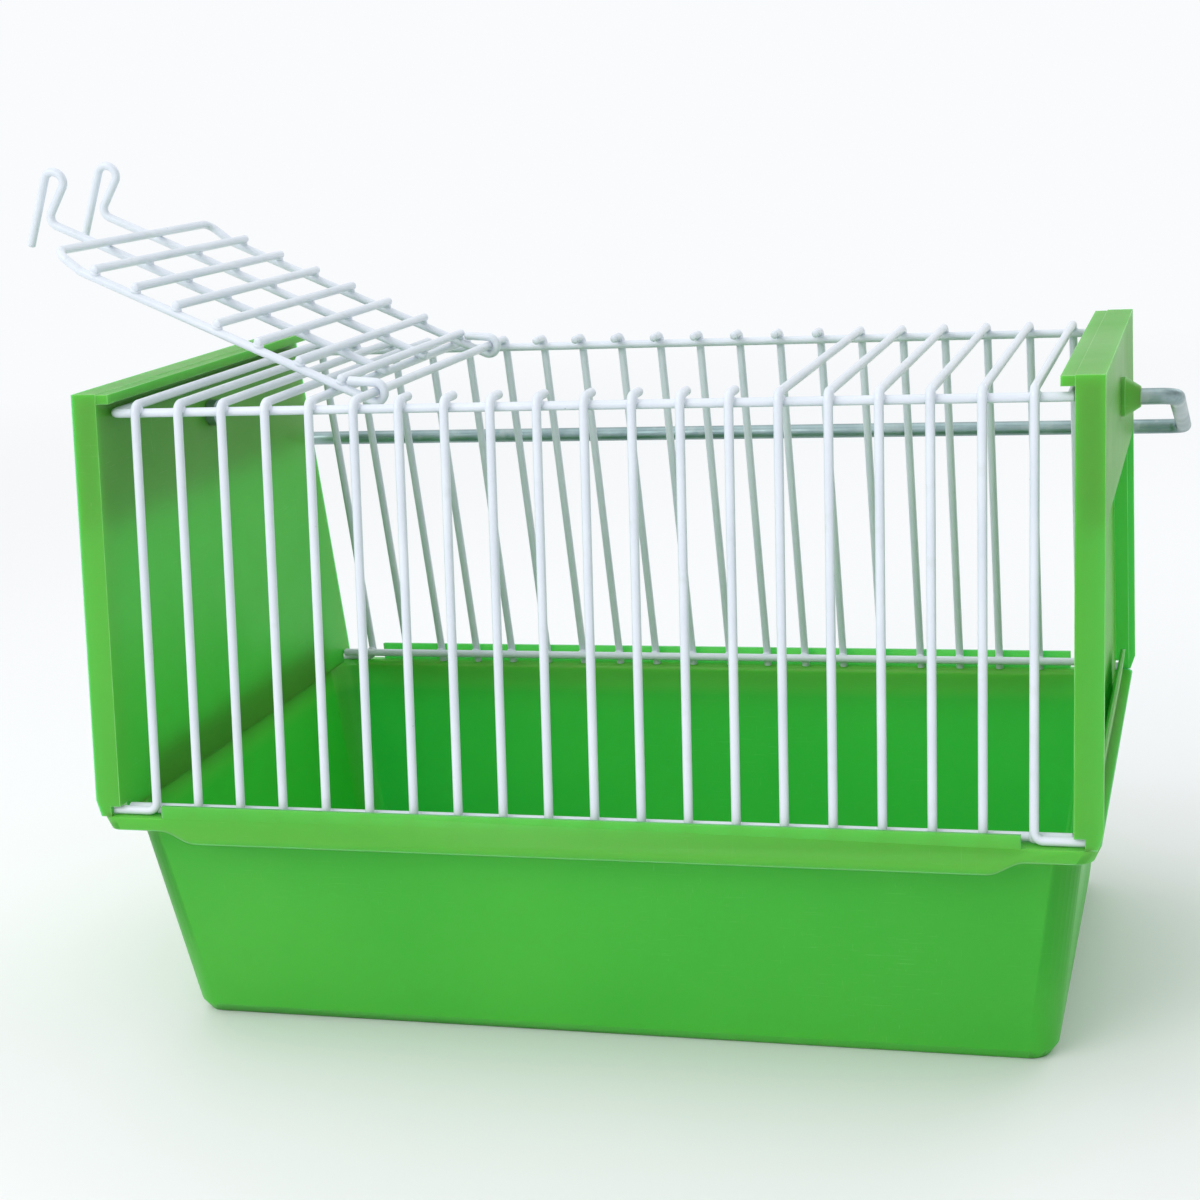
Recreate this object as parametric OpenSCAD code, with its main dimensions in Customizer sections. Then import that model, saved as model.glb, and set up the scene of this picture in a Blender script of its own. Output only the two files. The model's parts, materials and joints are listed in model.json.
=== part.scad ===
// Small-animal clinic cage: a moulded tray and two moulded end panels hold a body of
// welded wire, with a hinged wire top door and a steel carrying bail.
// X runs along the cage, Y from front to back, Z up. The origin is the centre of the
// tray's underside.

/* [Wire grid] */
// Diameter of the coated wire
wire_d = 4.4; // [4:0.1:4.6]
// Distance between neighbouring upright wires
pitch = 23; // [22:0.5:24]
// Half of the depth between the wire walls at their top
top_half_depth = 110; // [106:1:114]
// Height of the wires over the top
hoop_z = 321.5; // [310:0.5:330]
// How far the wire walls lean out for each millimetre they go down
wall_lean = 0.151; // [0.13:0.005:0.16]
// Length of the bent-over tips of the wires cut off at the door opening
tip_length = 13; // [8:1:14]

/* [Tray] */
// Half length of the tray's floor outside
floor_half_x = 225; // [215:1:228]
// Half depth of the tray's floor outside
floor_half_y = 117.5; // [108:0.5:120]
// Height of the ledge that carries the wires and end panels
ledge_z = 119.5; // [115:0.5:122]
// Half length of the rim
rim_half_x = 248.4; // [248:0.1:249]
// Half depth of the rim
rim_half_y = 146; // [145.5:0.1:147]
// Thickness of the tray's walls
tray_wall = 3; // [2.5:0.1:3.5]
// Lowest edge of the rim's skirt along the front and back
skirt_z = 106.5; // [104:0.5:110]
// Height of the ends of the tray, which rise outside the end panels
end_wall_z = 141; // [130:1:170]

/* [End panels] */
// Outer face of each panel's flange
panel_x = 249.7; // [249.5:0.1:250.5]
// Width of the flange along the panel's edge
flange_width = 13.3; // [12:0.1:13.6]
// Height of the panel's top
panel_top_z = 328; // [327:0.5:335]
// Half depth of the panel at its top
panel_half_y = 115; // [114:0.5:117]
// Thickness of the panel's skin
panel_wall = 2.5; // [2:0.1:2.6]
// Height where the deep outer recess of the panel stops
upper_face_z = 262; // [240:1:270]

/* [Top door] */
// Angle of the open door above level
door_open_deg = 24.3; // [24.3:0.1:30]
// Distance from the hinge to the nearest cross wire
first_cross = 18; // [18:0.5:19]
// Number of cross wires between the hinge and the door's free end
cross_count = 7; // [5:1:7]
// Half distance between the door's two outer long wires
door_half_y = 82; // [78:1:84]
// How far the latch hooks reach under the door when it is closed
hook_depth = 21.5; // [20:0.5:26]

/* [Carrying bail] */
// Diameter of the bail's rod
rod_d = 8; // [7:0.5:8]
// Height of the bail's pivots
pivot_z = 299.5; // [296:0.5:302]
// Distance from the pivots to the grip
bail_reach = 155.5; // [154:0.5:160]
// Middle of each bail arm
arm_x = 276; // [276:0.5:280]
// Angle of the folded bail below level
bail_rest_deg = 15.3; // [12:0.1:20]

/* [Hidden] */
$fn = 40;
wire_r = wire_d / 2;
// Wires that are welded side by side keep a hair of space between their faces
weld_gap = 0.05;
nest_r = wire_d + weld_gap;
sleeve_half = 0.24;
sleeve_wall = 0.02;

wire_count = 20;
hoops_each_side = 6;
door_wire_count = wire_count - 2 * hoops_each_side;
function wire_x(i) = pitch * (i - (wire_count - 1) / 2);
function lean_y(z) = top_half_depth + wall_lean * (hoop_z - z);
lean_cos = cos(atan(wall_lean));

// The top rails nest in the bends of the hoops
rail_z = hoop_z - nest_r;
rail_y = lean_y(rail_z) - nest_r / lean_cos;
front_low_rail_z = ledge_z + wire_r + 0.2;
back_low_rail_z = front_low_rail_z + 3.6;
rail_end_x = panel_x - flange_width - 1.5;
foot_z = ledge_z + wire_r + weld_gap;
foot_end_x = wire_x(wire_count - 1) + pitch;
foot_slot_y = rim_half_y;
foot_slot_depth = 24;
rail_bend = 5.5;
upright_z = ledge_z + 0.3;

wall_slope = 0.128;
lip_height_front = 6.4;
lip_height_back = 9.5;
lip_half_x = 213;
lip_wall = 2.6;
end_wall_length = 216;
skirt_wall = 2.8;
skirt_step_z = 113;
skirt_drop_x = 197;
skirt_sweep_length = 18;
rim_lean = 6;
ledge_wall = 2.5;
panel_lean = 0.1456;
web_x = panel_x - flange_width;
// The top rails' turned ends run close along the end panels
rail_gap = 0.3;
border_x = web_x - wire_r - rail_gap;
top_flange_width = 19.7;
top_flange_wall = 5;
// The top ledge inside the cage is set in from the panel's edge
ledge_step = 0.4;
foot_slant = 3;
foot_slant_height = 14;
flange_wall = 3;
// The flange is a little thinner at its outer edge
flange_step = 0.4;
boss_r = 9.6;
boss_shoulder_x = 252;
boss_end_x = 259.3;
boss_tip_r = 5;
pivot_clearance = 0.08;
cap_r = 7;
cap_length = 5;
cap_gap = 0.4;
cap_depth = 3;

hinge_x = wire_x(hoops_each_side - 1);
latch_reach = wire_x(wire_count - hoops_each_side) - hinge_x;
// Middle of the hinge loops' wire, clear of the hinge wire inside
loop_r = wire_d + 0.35;
cross_w = -loop_r + nest_r;
last_cross = first_cross + pitch * cross_count;
loop_tail = 14;
cross_overhang = 1.6;
frame_rise = 16;
frame_bend = 7;
latch_half_y = door_half_y / 3;
// The hook's upright stays outside the circle that the latch wire's far side is on
hook_u = latch_reach + wire_d + 0.4;
hook_lean = 4.2;
hook_width = 11.8;
finger_w = -20;
finger_lean = 2;
latch_bend = 5;

bail_bend = 8;

front_uprights = [for (i = [0 : door_wire_count - 1]) str("front_wire_", i + 1)];
back_uprights = [for (i = [0 : door_wire_count - 1]) str("back_wire_", i + 1)];
hoop_names = [for (i = [0 : 2 * hoops_each_side - 1]) str("hoop_wire_", i + 1)];
cross_names = [for (i = [0 : cross_count - 1]) str("door_cross_", i + 1)];
NODES = concat(
    ["tray", "end_panel_left", "end_panel_right"],
    ["top_rail_front", "top_rail_back", "low_rail_front", "low_rail_back"],
    hoop_names, front_uprights, back_uprights,
    ["door_frame", "door_latch_front", "door_latch_back"],
    cross_names,
    ["carry_bail", "bail_cap_left", "bail_cap_right"]
);
node = "all";

coat = [0.93, 0.96, 0.97];
tray_green = [0.33, 0.72, 0.28];
panel_green = [0.42, 0.74, 0.28];
steel = [0.5, 0.58, 0.57];

// ---- bent wire ----

function unit(v) = v / norm(v);
function turn_between(a, b) = acos(min(1, max(-1, a * b)));

// Places things drawn in the x, y, z directions along three given directions at a point
module at_frame(x, y, z, p) {
    multmatrix([
        [x[0], y[0], z[0], p[0]],
        [x[1], y[1], z[1], p[1]],
        [x[2], y[2], z[2], p[2]],
        [0, 0, 0, 1]
    ]) children();
}

// A straight length of round wire from a to b
module rod(a, b, r) {
    d = unit(b - a);
    side = unit(cross(d, abs(d[2]) < 0.9 ? [0, 0, 1] : [1, 0, 0]));
    at_frame(side, cross(d, side), d, a) cylinder(h = norm(b - a), r = r);
}

// A hair-thin sleeve over the place where a straight length meets a bend
module joint_sleeve(p, d, r) {
    rod(p - d * sleeve_half, p + d * sleeve_half, r + sleeve_wall);
}

// A round bend from the point start, turning from direction d towards direction inward
module bend(start, d, inward, turn, r, bend_r) {
    at_frame(-inward, d, cross(-inward, d), start + inward * bend_r)
        rotate_extrude(angle = turn) translate([bend_r, 0]) circle(r = r);
}

// A wire along straight stretches through points, with the same bend at each corner
module bent_wire(points, r, bend_r) {
    last = len(points) - 1;
    dirs = [for (i = [0 : last - 1]) unit(points[i + 1] - points[i])];
    turns = [for (i = [0 : last])
        (i == 0 || i == last) ? 0 : turn_between(dirs[i - 1], dirs[i])];
    trims = [for (t = turns) bend_r * tan(t / 2)];
    for (i = [0 : last - 1]) {
        a = points[i] + dirs[i] * (trims[i] + (i > 0 ? sleeve_half / 2 : 0));
        b = points[i + 1] - dirs[i] * (trims[i + 1] + (i < last - 1 ? sleeve_half / 2 : 0));
        rod(a, b, r);
    }
    for (i = [1 : 1 : last - 1]) {
        start = points[i] - dirs[i - 1] * trims[i];
        inward = unit(dirs[i] - (dirs[i] * dirs[i - 1]) * dirs[i - 1]);
        bend(start, dirs[i - 1], inward, turns[i], r, bend_r);
        joint_sleeve(start, dirs[i - 1], r);
        joint_sleeve(points[i] + dirs[i] * trims[i], dirs[i], r);
    }
}

// ---- wire body ----

// The lowest point of an upright on one side, front (-1) or back (1)
function upright_foot(side) = [side * lean_y(upright_z), upright_z];
function low_corner(side) = [side * lean_y(foot_z), foot_z];
function top_corner(side) = [side * lean_y(hoop_z), hoop_z];

// An upright wire over the top and down the other side
module hoop(i) {
    x = wire_x(i);
    ends_out = i == 0 ? -1 : i == wire_count - 1 ? 1 : 0;
    front = ends_out == 0 ? upright_foot(-1) : low_corner(-1);
    back = ends_out == 0 ? upright_foot(1) : low_corner(1);
    over = [
        [x, front[0], front[1]],
        [x, top_corner(-1)[0], hoop_z],
        [x, top_corner(1)[0], hoop_z],
        [x, back[0], back[1]]
    ];
    feet_front = [[ends_out * foot_end_x, front[0], front[1]]];
    feet_back = [[ends_out * foot_end_x, back[0], back[1]]];
    color(coat)
        bent_wire(ends_out == 0 ? over : concat(feet_front, over, feet_back), wire_r, nest_r);
}

// An upright wire cut off just past the top rail, at the door opening
module upright(i, side) {
    x = wire_x(i);
    foot = upright_foot(side);
    top = top_corner(side);
    color(coat)
        bent_wire([
            [x, foot[0], foot[1]],
            [x, top[0], hoop_z],
            [x, top[0] - side * tip_length, hoop_z]
        ], wire_r, nest_r);
}

// A top rail that turns along the end panel and stops short of the other rail
module top_rail(side) {
    x = side * rail_end_x;
    color(coat)
        bent_wire([
            [-x, side * rail_y, rail_z],
            [x - side * (rail_end_x - border_x), side * rail_y, rail_z],
            [x - side * (rail_end_x - border_x), -side * (rail_y - nest_r), rail_z]
        ], wire_r, rail_bend);
}

module low_rail(side, z) {
    y = side * (lean_y(z) - nest_r / lean_cos);
    color(coat) rod([-rail_end_x, y, z], [rail_end_x, y, z], wire_r);
}

// ---- tray ----

// A block with rounded upright edges that tapers from one size to another
module tapered_block(low, high, z0, z1, r) {
    hull() {
        for (sx = [-1, 1], sy = [-1, 1]) {
            translate([sx * (low[0] - r), sy * (low[1] - r), z0]) cylinder(h = 0.1, r = r, $fn = 32);
            translate([sx * (high[0] - r), sy * (high[1] - r), z1 - 0.1])
                cylinder(h = 0.1, r = r, $fn = 32);
        }
    }
}

// The basin's outline at a height, without its wall
function basin_half(z, wall) = [
    floor_half_x + wall_slope * z - wall,
    floor_half_y + wall_slope * z * 0.9 - wall
];

// The basin with its bottom edge rounded
module basin_block(wall, z0, z1) {
    edge = 6;
    r = 14;
    hull() {
        for (sx = [-1, 1], sy = [-1, 1]) {
            low = basin_half(z0 + edge, wall);
            high = basin_half(z1, wall);
            translate([sx * (low[0] - r), sy * (low[1] - r), z0])
                cylinder(h = 0.1, r = r - edge * 0.7, $fn = 32);
            translate([sx * (low[0] - r), sy * (low[1] - r), z0 + edge])
                cylinder(h = 0.1, r = r, $fn = 32);
            translate([sx * (high[0] - r), sy * (high[1] - r), z1 - 0.1])
                cylinder(h = 0.1, r = r, $fn = 32);
        }
    }
}

// What is cut from under the rim's right end, where the skirt sweeps up to its shallow height
module skirt_sweep() {
    steps = 8;
    rotate([90, 0, 0]) linear_extrude(height = 2 * rim_half_y + 2, center = true)
        polygon(concat(
            [for (i = [0 : steps]) [
                skirt_drop_x + skirt_sweep_length * i / steps,
                skirt_z + (skirt_step_z - skirt_z) * (1 - cos(180 * i / steps)) / 2
            ]],
            [[rim_half_x + 1, skirt_step_z], [rim_half_x + 1, skirt_z - 1],
                [skirt_drop_x, skirt_z - 1]]
        ));
}

// The rim and its skirt as a solid block
module rim_block() {
    difference() {
        tapered_block([rim_half_x - rim_lean, rim_half_y], [rim_half_x, rim_half_y],
            skirt_z, ledge_z, 9);
        skirt_sweep();
        mirror([1, 0, 0]) skirt_sweep();
    }
}

module tray() {
    wall_x = web_x + panel_wall + 0.7;
    end_rise = end_wall_z - ledge_z + 1;
    color(tray_green)
    difference() {
        union() {
            basin_block(0, 0, ledge_z);
            rim_block();
            translate([-lip_half_x, -rim_half_y, ledge_z - 1])
                cube([2 * lip_half_x, lip_wall, lip_height_front + 1]);
            translate([-lip_half_x, rim_half_y - lip_wall, ledge_z - 1])
                cube([2 * lip_half_x, lip_wall, lip_height_back + 1]);
            for (s = [-1, 1])
                mirror([s < 0 ? 1 : 0, 0, 0])
                    rotate([90, 0, 0]) linear_extrude(height = end_wall_length, center = true)
                        polygon([
                            [wall_x, ledge_z - 1], [wall_x + 3.5, ledge_z - 1],
                            [wall_x + 3.5 + end_rise * wall_slope, end_wall_z],
                            [wall_x + 1 + end_rise * wall_slope, end_wall_z]
                        ]);
        }
        basin_block(tray_wall, tray_wall, ledge_z + 0.2);
        // The hollow under the rim, outside the basin
        difference() {
            tapered_block([rim_half_x - rim_lean - skirt_wall, rim_half_y - skirt_wall],
                [rim_half_x - skirt_wall, rim_half_y - skirt_wall],
                skirt_z - 1, ledge_z - ledge_wall, 7);
            basin_block(0, 0, ledge_z);
        }
    }
}

// ---- end panels ----

// Half depth of the panel's outline at a height
function panel_half(z) = panel_half_y + panel_lean * (panel_top_z - z);

// The panel's outline in depth and height, drawn a given distance inside its edge
module panel_outline(inset, z0, z1) {
    polygon([
        [-panel_half(z0) + inset, z0], [-panel_half(z1) + inset, z1],
        [panel_half(z1) - inset, z1], [panel_half(z0) - inset, z0]
    ]);
}

module panel_slab(x0, x1, inset, z0, z1) {
    translate([x0, 0, 0]) rotate([90, 0, 90]) linear_extrude(height = x1 - x0)
        panel_outline(inset, z0, z1);
}

// The pivot boss: a plain stem inside the panel with a blunt cone outside it
module pivot_boss() {
    translate([web_x, 0, pivot_z]) rotate([0, 90, 0]) {
        cylinder(h = boss_shoulder_x - web_x, r = boss_r);
        translate([0, 0, boss_shoulder_x - web_x])
            cylinder(h = boss_end_x - boss_shoulder_x, r1 = boss_r, r2 = boss_tip_r);
    }
}

// The right-hand end panel: a web with a flange standing outwards all round it. The top
// length is closed on the outside too, around the boss.
module end_panel() {
    base_z = ledge_z + 0.1;
    under_top = panel_top_z - top_flange_wall;
    color(panel_green)
    difference() {
        union() {
            difference() {
                union() {
                    panel_slab(web_x, panel_x, 0, base_z, panel_top_z);
                    panel_slab(panel_x - top_flange_width, web_x + 1,
                        ledge_step, under_top, panel_top_z - ledge_step);
                }
                // The pocket behind the closed top, then the open recess below it
                panel_slab(web_x + panel_wall, panel_x - panel_wall,
                    flange_wall, base_z - 1, under_top);
                panel_slab(panel_x - panel_wall - 1, panel_x + 1,
                    flange_wall - flange_step, base_z - 1, upper_face_z);
            }
            pivot_boss();
        }
        // Room for the outermost wire's feet
        for (s = [-1, 1])
            translate([web_x - 1, s * foot_slot_y - foot_slot_depth / 2, base_z - 1])
                cube([foot_end_x + 1 - web_x, foot_slot_depth, wire_d + 1.6]);
        translate([web_x - 1, 0, pivot_z]) rotate([0, 90, 0])
            cylinder(h = boss_end_x - web_x + 2, r = rod_d / 2 + pivot_clearance);
        // The slanted lower edge, down to the tray's rim
        rotate([90, 0, 0]) linear_extrude(height = 2 * rim_half_y + 20, center = true)
            polygon([
                [panel_x + 2, base_z - 1], [panel_x - foot_slant, base_z - 1],
                [panel_x + 2, base_z + foot_slant_height]
            ]);
    }
}

// ---- top door, drawn closed to its hinge and laid back to the open angle ----

// A point of the door: u runs from the hinge to the free end, w is towards the inside
function door_point(u, w, y) = [
    hinge_x - u * cos(door_open_deg) + w * sin(door_open_deg),
    y,
    hoop_z + u * sin(door_open_deg) + w * cos(door_open_deg)
];

// The loop at one corner of the door, which turns on the hinge wire
module hinge_loop(y) {
    tangent_deg = acos(loop_r / loop_tail);
    tail_start = loop_r * [cos(tangent_deg), sin(tangent_deg)];
    tail_unit = unit([loop_tail, 0] - tail_start);
    start = door_point(0, -loop_r, y);
    loop_end = door_point(tail_start[0], tail_start[1], y);
    u_dir = unit(door_point(1, -loop_r, y) - start);
    w_dir = unit(door_point(0, 0, y) - start);
    tail_dir = tail_unit[0] * u_dir + tail_unit[1] * w_dir;
    bend(start, -u_dir, w_dir, 270 - tangent_deg, wire_r, loop_r);
    rod(loop_end + tail_dir * sleeve_half / 2, door_point(loop_tail, 0, y), wire_r);
    joint_sleeve(start, u_dir, wire_r);
    joint_sleeve(loop_end, tail_dir, wire_r);
}

// The door's outer wire: two edges and the free end, which rises to the cross wires' side
module door_frame() {
    side = [[sleeve_half / 2, -loop_r], [last_cross - frame_rise, -loop_r], [last_cross, cross_w]];
    front = [for (p = side) door_point(p[0], p[1], -door_half_y)];
    back = [for (i = [2 : -1 : 0]) door_point(side[i][0], side[i][1], door_half_y)];
    color(coat) {
        bent_wire(concat(front, back), wire_r, frame_bend);
        hinge_loop(-door_half_y);
        hinge_loop(door_half_y);
    }
}

// A long wire in the middle of the door, ending in its latch hook and finger piece
module door_latch(y) {
    points = [
        [first_cross - wire_r, -loop_r], [hook_u + hook_lean, -loop_r], [hook_u, hook_depth],
        [hook_u + hook_width, hook_depth], [hook_u + hook_width - finger_lean, finger_w]
    ];
    color(coat)
        bent_wire([for (p = points) door_point(p[0], p[1], y)], wire_r, latch_bend);
}

// A cross wire of the door, numbered from the one next to the free end
module door_cross(i) {
    u = last_cross - pitch * (i + 1);
    reach = door_half_y + cross_overhang;
    color(coat) rod(door_point(u, cross_w, -reach), door_point(u, cross_w, reach), wire_r);
}

// ---- carrying bail ----

module carry_bail() {
    y = bail_reach * cos(bail_rest_deg);
    z = pivot_z - bail_reach * sin(bail_rest_deg);
    end_x = web_x - cap_gap - cap_depth;
    color(steel)
        bent_wire([
            [-end_x, 0, pivot_z], [-arm_x, 0, pivot_z], [-arm_x, y, z],
            [arm_x, y, z], [arm_x, 0, pivot_z], [end_x, 0, pivot_z]
        ], rod_d / 2, bail_bend);
}

// The cap pressed on the bail's end inside the right-hand panel
module bail_cap() {
    color(steel)
        difference() {
            translate([web_x - cap_gap - cap_length, 0, pivot_z]) rotate([0, 90, 0])
                cylinder(h = cap_length, r = cap_r);
            translate([web_x - cap_gap - cap_depth, 0, pivot_z]) rotate([0, 90, 0])
                cylinder(h = cap_length, r = rod_d / 2);
        }
}

function shown(name) = node == "all" || node == name;

if (shown("tray")) tray();
if (shown("end_panel_left")) mirror([1, 0, 0]) end_panel();
if (shown("end_panel_right")) end_panel();
if (shown("top_rail_front")) top_rail(-1);
if (shown("top_rail_back")) top_rail(1);
if (shown("low_rail_front")) low_rail(-1, front_low_rail_z);
if (shown("low_rail_back")) low_rail(1, back_low_rail_z);
for (i = [0 : 2 * hoops_each_side - 1])
    if (shown(hoop_names[i])) hoop(i < hoops_each_side ? i : i + door_wire_count);
for (i = [0 : door_wire_count - 1]) {
    if (shown(front_uprights[i])) upright(hoops_each_side + i, -1);
    if (shown(back_uprights[i])) upright(hoops_each_side + i, 1);
}
if (shown("door_frame")) door_frame();
if (shown("door_latch_front")) door_latch(-latch_half_y);
if (shown("door_latch_back")) door_latch(latch_half_y);
for (i = [0 : cross_count - 1])
    if (shown(cross_names[i])) door_cross(i);
if (shown("carry_bail")) carry_bail();
if (shown("bail_cap_left")) mirror([1, 0, 0]) bail_cap();
if (shown("bail_cap_right")) bail_cap();
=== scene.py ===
"""The looks of the kennel cage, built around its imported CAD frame.

Metres. +X runs along the cage towards the latch side, +Y from front to back, +Z up.
Wires, rails and the door keep their CAD shape. The tray and the end panels are rebuilt with
moulded edges, and coat beads fill the welds and round off the wires' cut ends.
"""

import json
import math

import bmesh
import bpy
from mathutils import Matrix, Vector


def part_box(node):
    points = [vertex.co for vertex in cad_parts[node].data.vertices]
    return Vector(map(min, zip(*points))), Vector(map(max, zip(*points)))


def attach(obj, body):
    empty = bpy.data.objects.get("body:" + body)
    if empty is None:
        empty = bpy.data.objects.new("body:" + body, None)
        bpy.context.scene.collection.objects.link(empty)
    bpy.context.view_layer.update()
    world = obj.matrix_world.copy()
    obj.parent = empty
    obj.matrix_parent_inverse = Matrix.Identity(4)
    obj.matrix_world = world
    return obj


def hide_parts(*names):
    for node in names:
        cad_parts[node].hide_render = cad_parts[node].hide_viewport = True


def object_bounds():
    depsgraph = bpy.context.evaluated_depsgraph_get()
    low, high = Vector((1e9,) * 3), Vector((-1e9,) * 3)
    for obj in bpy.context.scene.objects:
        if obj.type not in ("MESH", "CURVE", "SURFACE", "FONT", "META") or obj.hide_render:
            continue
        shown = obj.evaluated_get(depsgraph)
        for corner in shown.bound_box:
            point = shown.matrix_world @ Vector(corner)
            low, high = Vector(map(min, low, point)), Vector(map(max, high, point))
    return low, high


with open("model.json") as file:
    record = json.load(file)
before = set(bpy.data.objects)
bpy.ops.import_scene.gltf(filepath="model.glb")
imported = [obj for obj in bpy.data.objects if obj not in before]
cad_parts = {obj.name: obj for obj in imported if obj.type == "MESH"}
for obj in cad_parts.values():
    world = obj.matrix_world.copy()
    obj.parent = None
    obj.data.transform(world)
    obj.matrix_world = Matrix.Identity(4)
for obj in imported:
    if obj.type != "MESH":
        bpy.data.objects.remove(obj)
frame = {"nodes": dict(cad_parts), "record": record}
cad_box = [list(corner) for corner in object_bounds()]

BODIES = frame["record"]["behaviour"]["bodies"]
MATERIAL_SLOTS = {p["node"]: p["material_slot"] for p in frame["record"]["subparts"]}
WIRE_NODES = {
    body: [n for n in nodes if MATERIAL_SLOTS[n] == "coated_wire"]
    for body, nodes in BODIES.items()
}

cross_low, cross_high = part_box("door_cross_1")
WIRE_R = (cross_high.z - cross_low.z) / 2

# Rounding of the moulded edges, at edges sharper than SHARP_DEG. Narrow steps limit it further.
TRAY_EDGE = 0.0009
PANEL_EDGE = 0.0007
SHARP_DEG = 28
EDGE_SEGMENTS = 3

# Mesh clean-up: faces within FLAT_DEG are joined, and so are points nearer than these distances
FLAT_DEG = 0.4
SAME_POINT = 2e-6
TOUCHING_POINT = 3e-6
SLIVER = 1e-6

# The tray is paler from the lower edge of its rim upwards
PALE_GREEN = (0.125, 0.455, 0.054)
RIM_DEPTH = 0.012
RIM_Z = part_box("end_panel_left")[0].z - RIM_DEPTH

# Weld beads and the domes on cut ends, as shares of the wire's radius
BEAD_ALONG = 1.35
BEAD_ACROSS = 1.25
BEAD_THICK = 0.75
DOME_WIDTH = 1.01
DOME_HEIGHT = 0.5

# Camera, in the 1200-pixel square frame of the view
FRAME_SIZE = 1200
FOCAL = 2077
CENTRE_X, CENTRE_Y = 708, 664
CAMERA_AT = (0.3050, -1.0228, 0.4642)
CAMERA_DOWN, CAMERA_ROLL, CAMERA_TURN = 15.988, 3.354, -14.814
SENSOR_MM = 36


# ---- small mesh helpers ----

def new_piece(name, mesh, body, material):
    obj = bpy.data.objects.new(name, mesh)
    bpy.context.collection.objects.link(obj)
    mesh.materials.clear()
    mesh.materials.append(material)
    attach(obj, body)
    return obj


def box_centre(node):
    low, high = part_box(node)
    return (low + high) / 2


# ---- materials ----

class Shader:
    """A Principled material with short helpers for its nodes."""

    def __init__(self, name):
        self.material = bpy.data.materials.new(name)
        self.material.use_nodes = True
        self.tree = self.material.node_tree
        self.tree.nodes.clear()
        self.surface = self.add("ShaderNodeOutputMaterial").inputs["Surface"]
        self.bsdf = self.add("ShaderNodeBsdfPrincipled")
        self.link(self.bsdf.outputs["BSDF"], self.surface)
        self.place = self.add("ShaderNodeTexCoord").outputs["Object"]

    def add(self, kind, **settings):
        node = self.tree.nodes.new(kind)
        for key, value in settings.items():
            setattr(node, key, value)
        return node

    def link(self, source, target):
        self.tree.links.new(source, target)

    def noise(self, scale, detail=3.0, stretch=(1, 1, 1), distortion=0.0):
        mapping = self.add("ShaderNodeMapping")
        mapping.inputs["Scale"].default_value = stretch
        self.link(self.place, mapping.inputs["Vector"])
        node = self.add("ShaderNodeTexNoise")
        node.inputs["Scale"].default_value = scale
        node.inputs["Detail"].default_value = detail
        node.inputs["Distortion"].default_value = distortion
        self.link(mapping.outputs["Vector"], node.inputs["Vector"])
        return node.outputs["Fac"]

    def steps(self, value, low, high, out_low=0.0, out_high=1.0):
        node = self.add("ShaderNodeMapRange")
        for key, number in zip(("From Min", "From Max", "To Min", "To Max"),
                               (low, high, out_low, out_high)):
            node.inputs[key].default_value = number
        self.link(value, node.inputs["Value"])
        return node.outputs["Result"]

    def maths(self, operation, a, b):
        node = self.add("ShaderNodeMath", operation=operation)
        for socket, value in zip(node.inputs, (a, b)):
            if isinstance(value, (int, float)):
                socket.default_value = value
            else:
                self.link(value, socket)
        return node.outputs["Value"]

    def mix(self, amount, a, b):
        node = self.add("ShaderNodeMix", data_type="RGBA")
        for socket, value in zip((node.inputs[0], node.inputs[6], node.inputs[7]),
                                 (amount, a, b)):
            if isinstance(value, (int, float)):
                socket.default_value = value
            elif isinstance(value, tuple):
                socket.default_value = (*value, 1)
            else:
                self.link(value, socket)
        return node.outputs[2]

    def bump(self, height, strength, distance, below=None):
        node = self.add("ShaderNodeBump")
        node.inputs["Strength"].default_value = strength
        node.inputs["Distance"].default_value = distance
        self.link(height, node.inputs["Height"])
        if below is not None:
            self.link(below, node.inputs["Normal"])
        return node.outputs["Normal"]

    def attribute(self, name):
        return self.add("ShaderNodeAttribute", attribute_name=name).outputs["Fac"]

    def finish(self, color, roughness, normal):
        self.link(color, self.bsdf.inputs["Base Color"])
        self.link(roughness, self.bsdf.inputs["Roughness"])
        self.link(normal, self.bsdf.inputs["Normal"])
        return self.material


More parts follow.
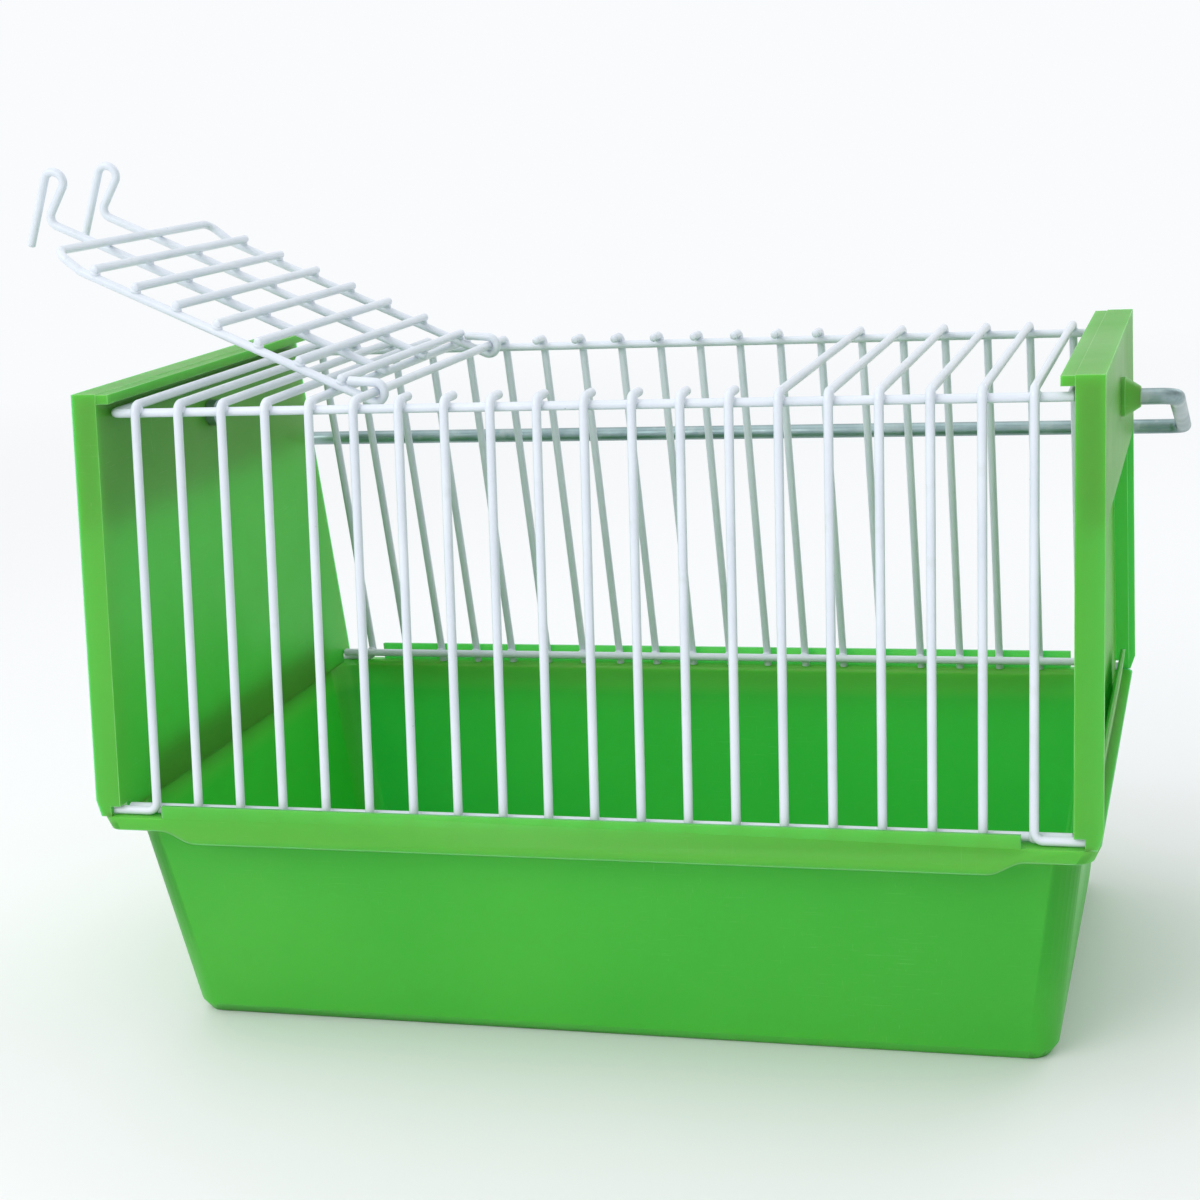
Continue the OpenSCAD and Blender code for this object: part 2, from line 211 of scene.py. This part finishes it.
def moulded_plastic(name, base, deep, worn_and_edge_highlight, roughness, subsurface, pale_above=None):
    """Semi-gloss moulded plastic: cloudy colour, mould grain, hairline scratches, paler edges,
    which are rubbed wear and, on the end panels, also a painted highlight.
    Above the height pale_above it's the paler green of the rim."""
    s = Shader(name)
    clouds = s.steps(s.noise(7, 4), 0.3, 0.7)
    color = s.mix(clouds, base, deep)
    if pale_above is not None:
        height = s.add("ShaderNodeSeparateXYZ")
        s.link(s.place, height.inputs["Vector"])
        rim = s.steps(height.outputs["Z"], pale_above - 0.004, pale_above + 0.002, 0, 0.8)
        color = s.mix(rim, color, PALE_GREEN)
    flow = s.steps(s.noise(3, 2, (1, 1, 5), 1.5), 0.35, 0.75, 0, 0.35)
    color = s.mix(flow, color, deep)
    scratch_h = s.steps(s.noise(60, 2, (1, 1, 34)), 0.66, 0.74)
    scratch_v = s.steps(s.noise(46, 2, (30, 30, 1)), 0.68, 0.76)
    scratches = s.maths("MAXIMUM", scratch_h, scratch_v)
    patches = s.steps(s.noise(9, 3), 0.5, 0.7)
    scratches = s.maths("MULTIPLY", scratches, patches)
    color = s.mix(s.maths("MULTIPLY", scratches, 0.22), color, worn_and_edge_highlight)
    # Rounded edges take the worn colour: rubbed wear on the tray, and on the end panels rubbed wear
    # plus a painted highlight along the edges.
    rubbed_and_highlit_edges = s.maths("MULTIPLY", s.attribute("edge_wear_and_highlight"), s.steps(s.noise(35, 4), 0.35, 0.7, 0.15, 0.8))
    color = s.mix(rubbed_and_highlit_edges, color, worn_and_edge_highlight)
    rough = s.steps(s.noise(14, 5), 0.3, 0.7, roughness - 0.05, roughness + 0.07)
    rough = s.maths("ADD", rough, s.maths("MULTIPLY", scratches, 0.12))
    grain = s.bump(s.noise(1500, 2), 0.10, 0.0002)
    waves = s.bump(s.noise(22, 2), 0.10, 0.002, grain)
    normal = s.bump(scratches, 0.12, 0.0002, waves)
    s.bsdf.inputs["IOR"].default_value = 1.42
    s.bsdf.inputs["Specular IOR Level"].default_value = 0.3
    s.bsdf.inputs["Subsurface Weight"].default_value = subsurface
    s.bsdf.inputs["Subsurface Radius"].default_value = (0.30, 1.0, 0.60)
    s.bsdf.inputs["Subsurface Scale"].default_value = 0.018
    return s.finish(color, rough, normal)


def coated_wire():
    """Thick white powder coat on wire: slight orange peel, faint bluish cast, thin grey grime."""
    s = Shader("coated_wire")
    tint = s.steps(s.noise(26, 4), 0.3, 0.7)
    color = s.mix(tint, (0.76, 0.81, 0.88), (0.68, 0.74, 0.82))
    grime = s.steps(s.noise(95, 5), 0.60, 0.78, 0, 0.35)
    color = s.mix(grime, color, (0.55, 0.61, 0.60))
    chip = s.steps(s.noise(330, 2), 0.785, 0.80, 0, 0.8)
    color = s.mix(chip, color, (0.35, 0.37, 0.36))
    rough = s.steps(s.noise(60, 4), 0.3, 0.7, 0.28, 0.46)
    peel = s.bump(s.noise(700, 2), 0.25, 0.0003)
    runs = s.bump(s.noise(120, 2), 0.22, 0.0006, peel)
    s.bsdf.inputs["IOR"].default_value = 1.5
    s.bsdf.inputs["Coat Weight"].default_value = 0.25
    s.bsdf.inputs["Coat Roughness"].default_value = 0.15
    return s.finish(color, rough, runs)


def zinc_steel():
    """Dull zinc-plated rod: drawn lines along it, white oxide bloom, darker rubbed patches."""
    s = Shader("zinc_steel")
    drawn = s.noise(900, 3, (0.02, 1, 1))
    color = s.mix(s.steps(s.noise(40, 5), 0.35, 0.65), (0.32, 0.42, 0.43), (0.20, 0.29, 0.30))
    color = s.mix(s.steps(drawn, 0.35, 0.7, 0, 0.35), color, (0.45, 0.54, 0.55))
    bloom = s.steps(s.noise(85, 6), 0.58, 0.70, 0, 0.6)
    color = s.mix(bloom, color, (0.50, 0.57, 0.57))
    rough = s.steps(s.noise(30, 5), 0.3, 0.7, 0.30, 0.46)
    rough = s.maths("ADD", rough, s.maths("MULTIPLY", bloom, 0.3))
    lines = s.bump(drawn, 0.12, 0.0002)
    s.bsdf.inputs["Metallic"].default_value = 0.85
    return s.finish(color, rough, s.bump(s.noise(160, 3), 0.12, 0.0005, lines))


MATERIALS = {
    "tray_plastic": moulded_plastic(
        "tray_plastic", base=(0.078, 0.435, 0.044), deep=(0.056, 0.390, 0.036),
        worn_and_edge_highlight=(0.26, 0.62, 0.20), roughness=0.40, subsurface=0.7, pale_above=RIM_Z),
    # The end panels' worn colour is lighter than the tray's: edge wear plus a painted highlight on
    # their rounded edges.
    "panel_plastic": moulded_plastic(
        "panel_plastic", base=(0.122, 0.405, 0.048), deep=(0.085, 0.365, 0.038),
        worn_and_edge_highlight=(0.42, 0.74, 0.36), roughness=0.42, subsurface=0.7),
    "coated_wire": coated_wire(),
    "zinc_steel": zinc_steel(),
}


# ---- moulded shells, from their CAD nodes ----

def mark_bevel_faces(mesh):
    """Turns the bevel's own material index into an attribute inside each rounded edge, which masks
    edge wear and the end panels' painted edge highlight.
    """
    edge_wear_and_highlight = mesh.attributes.new("edge_wear_and_highlight", "FLOAT", "POINT")
    rounded = [True] * len(mesh.vertices)
    for face in mesh.polygons:
        if face.material_index == 0:
            for v in face.vertices:
                rounded[v] = False
        face.material_index = 0
    edge_wear_and_highlight.data.foreach_set("value", [1.0 if r else 0.0 for r in rounded])


def applied(obj):
    """The object's mesh with its modifiers applied, which leaves the object without them."""
    graph = bpy.context.evaluated_depsgraph_get()
    mesh = bpy.data.meshes.new_from_object(obj.evaluated_get(graph))
    obj.modifiers.clear()
    return mesh


def merge_touching(mesh):
    """Joins the points that a bevel leaves in one place, where a step is as narrow as the bevel."""
    bm = bmesh.new()
    bm.from_mesh(mesh)
    bmesh.ops.remove_doubles(bm, verts=bm.verts, dist=TOUCHING_POINT)
    bmesh.ops.dissolve_degenerate(bm, edges=bm.edges, dist=SLIVER)
    bm.to_mesh(mesh)
    bm.free()


def moulded_shell(node, name, edge):
    """A copy of a CAD node's shape with rounded edges and smooth, even shading."""
    source = frame["nodes"][node].data
    mesh = bpy.data.meshes.new(name)
    mesh.from_pydata(
        [v.co for v in source.vertices], [], [list(p.vertices) for p in source.polygons])
    bm = bmesh.new()
    bm.from_mesh(mesh)
    bmesh.ops.remove_doubles(bm, verts=bm.verts, dist=SAME_POINT)
    bmesh.ops.dissolve_limit(
        bm, angle_limit=math.radians(FLAT_DEG), verts=bm.verts, edges=bm.edges,
        use_dissolve_boundaries=False)
    bmesh.ops.recalc_face_normals(bm, faces=bm.faces)
    for face in bm.faces:
        face.smooth = True
    bm.to_mesh(mesh)
    bm.free()
    slot_name = MATERIAL_SLOTS[node]
    obj = new_piece(name, mesh, "root", MATERIALS[slot_name])
    mesh.materials.append(MATERIALS[slot_name])
    bevel = obj.modifiers.new("edge", "BEVEL")
    bevel.width = edge
    bevel.segments = EDGE_SEGMENTS
    bevel.limit_method = "ANGLE"
    bevel.angle_limit = math.radians(SHARP_DEG)
    bevel.material = 1
    bevel.miter_outer = "MITER_ARC"
    bevel.use_clamp_overlap = True
    obj.data = applied(obj)
    merge_touching(obj.data)
    shading = obj.modifiers.new("shading", "WEIGHTED_NORMAL")
    shading.weight = 100
    shading.keep_sharp = True
    obj.data = applied(obj)
    obj.data.name = name
    mark_bevel_faces(obj.data)
    obj.data.materials.pop()
    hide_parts(node)


moulded_shell("tray", "tray_moulding", TRAY_EDGE)
moulded_shell("end_panel_left", "end_panel_moulding_left", PANEL_EDGE)
moulded_shell("end_panel_right", "end_panel_moulding_right", PANEL_EDGE)

for node, obj in frame["nodes"].items():
    obj.data.materials.clear()
    obj.data.materials.append(MATERIALS[MATERIAL_SLOTS[node]])


# ---- coat beads at the welds and on the wires' ends ----

def add_blob(bm, centre, along, across, out, level=2):
    """A rounded blob whose half lengths are the lengths of the three given directions."""
    made = bmesh.ops.create_icosphere(bm, subdivisions=level, radius=1.0)
    turn = Matrix((along, across, out)).transposed().to_4x4()
    bmesh.ops.transform(bm, matrix=Matrix.Translation(centre) @ turn, verts=made["verts"])


def add_weld(bm, contact, one, other, normal):
    add_blob(bm, contact, one * WIRE_R * BEAD_ALONG, other * WIRE_R * BEAD_ACROSS,
             normal * WIRE_R * BEAD_THICK)


def end_caps(node):
    """(centre, outward direction) of each flat cut end of a wire, found in its CAD mesh."""
    mesh = frame["nodes"][node].data
    bm = bmesh.new()
    bm.from_mesh(mesh)
    seen, caps = set(), []
    for start in bm.faces:
        if start in seen:
            continue
        island, queue = [], [start]
        seen.add(start)
        while queue:
            face = queue.pop()
            island.append(face)
            for edge in face.edges:
                for near in edge.link_faces:
                    if near not in seen:
                        seen.add(near)
                        queue.append(near)
        normal = island[0].normal.copy()
        points = {v for f in island for v in f.verts}
        centre = sum((v.co for v in points), Vector()) / len(points)
        # A cut end is flat and about as large as the wire's round section
        flat = all(f.normal.dot(normal) > 0.999 for f in island)
        area = sum(f.calc_area() for f in island)
        full = math.pi * WIRE_R ** 2
        if flat and 0.8 * full < area < 1.1 * full:
            caps.append((centre, normal))
    bm.free()
    return caps


def add_end_domes(bm, body):
    for node in WIRE_NODES[body]:
        for centre, out in end_caps(node):
            side = out.orthogonal().normalized()
            r = WIRE_R * DOME_WIDTH
            add_blob(bm, centre, side * r, out.cross(side) * r, out * r * DOME_HEIGHT, 3)


def finish_beads(bm, name, body):
    mesh = bpy.data.meshes.new(name)
    for face in bm.faces:
        face.smooth = True
    bm.to_mesh(mesh)
    bm.free()
    new_piece(name, mesh, body, MATERIALS["coated_wire"])


def upright_x(node):
    """The X of an upright wire, whatever way its feet turn."""
    low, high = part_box(node)
    if high.x - low.x < 3 * WIRE_R:
        return (low.x + high.x) / 2
    return high.x - WIRE_R if low.x < -abs(high.x) else low.x + WIRE_R


def rail_centre(node, side):
    """(Y, Z) of a rail's long run; side is -1 in front and 1 behind."""
    low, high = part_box(node)
    return (low.y + WIRE_R if side < 0 else high.y - WIRE_R), (low.z + high.z) / 2


bm = bmesh.new()
X_DIR = Vector((1, 0, 0))
for side, word in ((-1, "front"), (1, "back")):
    uprights = [n for n in WIRE_NODES["root"] if n.startswith(("hoop_wire", word + "_wire"))]
    top_y, top_z = rail_centre(f"top_rail_{word}", side)
    low_y, low_z = rail_centre(f"low_rail_{word}", side)
    slope = Vector((0, top_y - low_y, top_z - low_z)).normalized()
    outward = slope.cross(X_DIR) if side < 0 else X_DIR.cross(slope)
    outward = outward if outward.y * side > 0 else -outward
    corner = (outward + Vector((0, 0, 1))).normalized()
    for node in uprights:
        x = upright_x(node)
        top = Vector((x, top_y, top_z)) + corner * WIRE_R
        add_weld(bm, top, X_DIR, corner.cross(X_DIR), corner)
        low = Vector((x, low_y, low_z)) + outward * WIRE_R
        add_weld(bm, low, X_DIR, slope, outward)
add_end_domes(bm, "root")
finish_beads(bm, "weld_beads_cage", "root")

bm = bmesh.new()
crosses = [box_centre(n) for n in WIRE_NODES["door"] if n.startswith("door_cross")]
door_dir = (crosses[0] - crosses[-1]).normalized()
Y_DIR = Vector((0, 1, 0))
door_out = door_dir.cross(Y_DIR)
door_out = door_out if door_out.z < 0 else -door_out
frame_low, frame_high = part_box("door_frame")
# The door's long wires pass on the outer side of its cross wires
long_wires = [frame_low.y + WIRE_R, frame_high.y - WIRE_R]
long_wires += [box_centre(f"door_latch_{word}").y for word in ("front", "back")]
for middle in crosses:
    for y in long_wires:
        contact = Vector((middle.x, y, middle.z)) + door_out * WIRE_R
        add_weld(bm, contact, door_dir, Y_DIR, door_out)
add_end_domes(bm, "door")
finish_beads(bm, "weld_beads_door", "door")


# ---- stage, light and camera ----

BACKGROUND = (0.97, 0.985, 1.0)
BACKGROUND_STRENGTH = 0.98
# The dimmer area deepens over these ranges of the direction's X and Z. It starts high enough that
# it doesn't show behind the cage.
DIM_STRENGTH = 0.42
DIM_RAMP_X = (0.25, 0.8)
DIM_RAMP_Z = (0.12, 0.35)
FLOOR_HALF = 14.0
FLOOR_GAP = 0.0002
FADE_FROM, FADE_TO = 0.7, 2.6
LIGHT_AIM = Vector((0, 0, 0.15))


def stage_material():
    """A pale floor that fades into the background with distance, so that no horizon shows."""
    s = Shader("studio_floor")
    color = s.mix(s.noise(2, 2), (0.90, 0.905, 0.91), (0.87, 0.875, 0.88))
    rough = s.steps(s.noise(5, 3), 0.3, 0.7, 0.55, 0.7)
    distance = s.add("ShaderNodeVectorMath", operation="LENGTH")
    s.link(s.place, distance.inputs[0])
    backdrop = s.add("ShaderNodeEmission")
    backdrop.inputs["Color"].default_value = (*BACKGROUND, 1)
    backdrop.inputs["Strength"].default_value = BACKGROUND_STRENGTH
    fade = s.add("ShaderNodeMixShader")
    s.link(s.steps(distance.outputs["Value"], FADE_FROM, FADE_TO), fade.inputs[0])
    s.link(s.bsdf.outputs["BSDF"], fade.inputs[1])
    s.link(backdrop.outputs["Emission"], fade.inputs[2])
    s.link(fade.outputs["Shader"], s.surface)
    return s.finish(color, rough, s.bump(s.noise(300, 2), 0.05, 0.0005))


def studio_world():
    """An even white surround, with a dimmer area high up on the latch side."""
    world = bpy.data.worlds.new("studio")
    world.use_nodes = True
    tree = world.node_tree
    split = tree.nodes.new("ShaderNodeSeparateXYZ")
    direction = tree.nodes.new("ShaderNodeTexCoord").outputs["Generated"]
    tree.links.new(direction, split.inputs["Vector"])

    def ramp(source, low, high, out_low, out_high):
        node = tree.nodes.new("ShaderNodeMapRange")
        for key, number in zip(("From Min", "From Max", "To Min", "To Max"),
                               (low, high, out_low, out_high)):
            node.inputs[key].default_value = number
        tree.links.new(source, node.inputs["Value"])
        return node.outputs["Result"]

    dimmed = tree.nodes.new("ShaderNodeMath")
    dimmed.operation = "MULTIPLY"
    tree.links.new(ramp(split.outputs["X"], *DIM_RAMP_X, 0, 1), dimmed.inputs[0])
    tree.links.new(ramp(split.outputs["Z"], *DIM_RAMP_Z, 0, 1), dimmed.inputs[1])
    strength = ramp(dimmed.outputs["Value"], 0, 1, BACKGROUND_STRENGTH, DIM_STRENGTH)
    background = tree.nodes["Background"]
    background.inputs["Color"].default_value = (*BACKGROUND, 1)
    tree.links.new(strength, background.inputs["Strength"])
    return world


bpy.ops.mesh.primitive_grid_add(
    x_subdivisions=4, y_subdivisions=4, size=2 * FLOOR_HALF,
    location=(0, 0, cad_box[0][2] - FLOOR_GAP))
floor = bpy.context.object
floor.name = "studio_floor"
floor.data.materials.append(stage_material())
bpy.context.scene.world = studio_world()


def area_light(name, at, size, power, color=(1, 1, 1)):
    light = bpy.data.lights.new(name, "AREA")
    light.shape = "RECTANGLE"
    light.size, light.size_y = size
    light.energy = power
    light.color = color
    obj = bpy.data.objects.new(name, light)
    bpy.context.collection.objects.link(obj)
    obj.location = at
    aim = LIGHT_AIM - Vector(at)
    obj.rotation_mode = "QUATERNION"
    obj.rotation_quaternion = aim.to_track_quat("-Z", "Y")


area_light("key", (-1.3, -2.0, 1.7), (1.8, 1.4), 20, (1, 0.99, 0.97))
area_light("top", (-0.3, 0.2, 2.4), (2.0, 1.6), 7)
area_light("rim", (1.2, 1.9, 1.5), (1.2, 1.0), 5, (0.95, 0.98, 1))

camera_data = bpy.data.cameras.new("camera")
camera = bpy.data.objects.new("camera", camera_data)
bpy.context.collection.objects.link(camera)
camera_data.sensor_fit = "HORIZONTAL"
camera_data.sensor_width = SENSOR_MM
camera_data.lens = SENSOR_MM * FOCAL / FRAME_SIZE
camera_data.shift_x = 0.5 - CENTRE_X / FRAME_SIZE
camera_data.shift_y = CENTRE_Y / FRAME_SIZE - 0.5
camera_data.dof.use_dof = False
camera_data.clip_start, camera_data.clip_end = 0.01, 60
down, roll, turn = map(math.radians, (CAMERA_DOWN, CAMERA_ROLL, CAMERA_TURN))
forward = Vector(
    (math.sin(turn) * math.cos(down), math.cos(turn) * math.cos(down), -math.sin(down)))
right = Vector((math.cos(turn), -math.sin(turn), 0))
below = forward.cross(right)
right, below = (right * math.cos(roll) + below * math.sin(roll),
                below * math.cos(roll) - right * math.sin(roll))
facing = Matrix((right, -below, -forward)).transposed().to_4x4()
camera.matrix_world = Matrix.Translation(CAMERA_AT) @ facing
bpy.context.scene.camera = camera
bpy.context.scene.view_settings.view_transform = "Standard"
